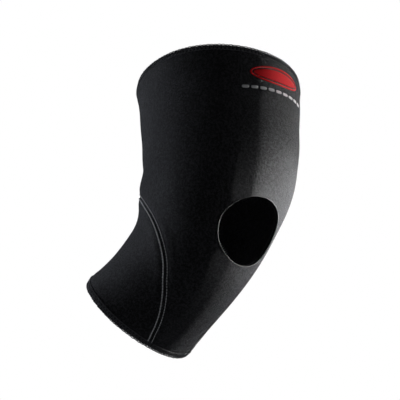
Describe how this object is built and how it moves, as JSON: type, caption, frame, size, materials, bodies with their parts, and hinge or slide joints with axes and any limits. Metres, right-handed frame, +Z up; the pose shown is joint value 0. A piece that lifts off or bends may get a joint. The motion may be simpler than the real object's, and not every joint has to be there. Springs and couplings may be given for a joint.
{
  "type": "open patella knee sleeve",
  "caption": "Bent tubular knee support of laminated neoprene with a round kneecap opening, curved calf gusset, flat seams and overlocked hems.",
  "frame": {"origin": "on the knee's hinge axis, where the middle lines of thigh and calf meet", "axes": "+Z up along the thigh, the kneecap opening faces -Y and a little down, X runs across the knee; the calf hangs back from the thigh at the worn bend"},
  "size_m": [0.1506, 0.1983, 0.2543],
  "materials": {
    "black_jersey": "fine knitted nylon jersey, matt",
    "neoprene_foam": null,
    "lining_jersey": "fine knitted nylon jersey, matt",
    "overlock_thread": "spun polyester thread",
    "seam_thread": "light grey textured polyester thread",
    "loop_thread": "textured polyester thread",
    "edge_bead": "grey sealed edge",
    "red_print": "heat-transfer print",
    "white_print": "heat-transfer print",
    "label_satin": "woven satin, blank"
  },
  "bodies": {
    "thigh_section": {"thigh_panel_lining": "lining_jersey", "thigh_panel_core": "neoprene_foam", "thigh_panel_face": "black_jersey", "knee_panel_lining": "lining_jersey", "knee_panel_core": "neoprene_foam", "knee_panel_face": "black_jersey", "upper_gusset_lining": "lining_jersey", "upper_gusset_core": "neoprene_foam", "upper_gusset_face": "black_jersey", "thigh_hem_overlock": "overlock_thread", "thigh_back_seam_cover": "seam_thread", "thigh_back_seam_loops": "loop_thread", "knee_back_seam_cover": "seam_thread", "knee_back_seam_loops": "loop_thread", "knee_gusset_seam_cover": "seam_thread", "knee_gusset_seam_loops": "loop_thread", "opening_edge_bead": "edge_bead", "printed_emblem": "red_print", "printed_dashes": "white_print", "care_label": "label_satin"},
    "calf_section": {"shin_panel_lining": "lining_jersey", "shin_panel_core": "neoprene_foam", "shin_panel_face": "black_jersey", "calf_gusset_lining": "lining_jersey", "calf_gusset_core": "neoprene_foam", "calf_gusset_face": "black_jersey", "calf_hem_overlock": "overlock_thread", "calf_gusset_seam_cover": "seam_thread", "calf_gusset_seam_loops": "loop_thread"}
  },
  "joints": [
    {"name": "knee_flexion", "type": "hinge", "parent": "thigh_section", "child": "calf_section", "pos_m": [0, 0, 0], "axis": [1, 0, 0], "range_deg": [-56, 50], "stiffness_Nm_per_rad": 0.9, "deforming": ["knee_panel_lining", "knee_panel_core", "knee_panel_face", "upper_gusset_lining", "upper_gusset_core", "upper_gusset_face", "knee_back_seam_cover", "knee_back_seam_loops", "knee_gusset_seam_cover", "knee_gusset_seam_loops", "opening_edge_bead"]}
  ]
}
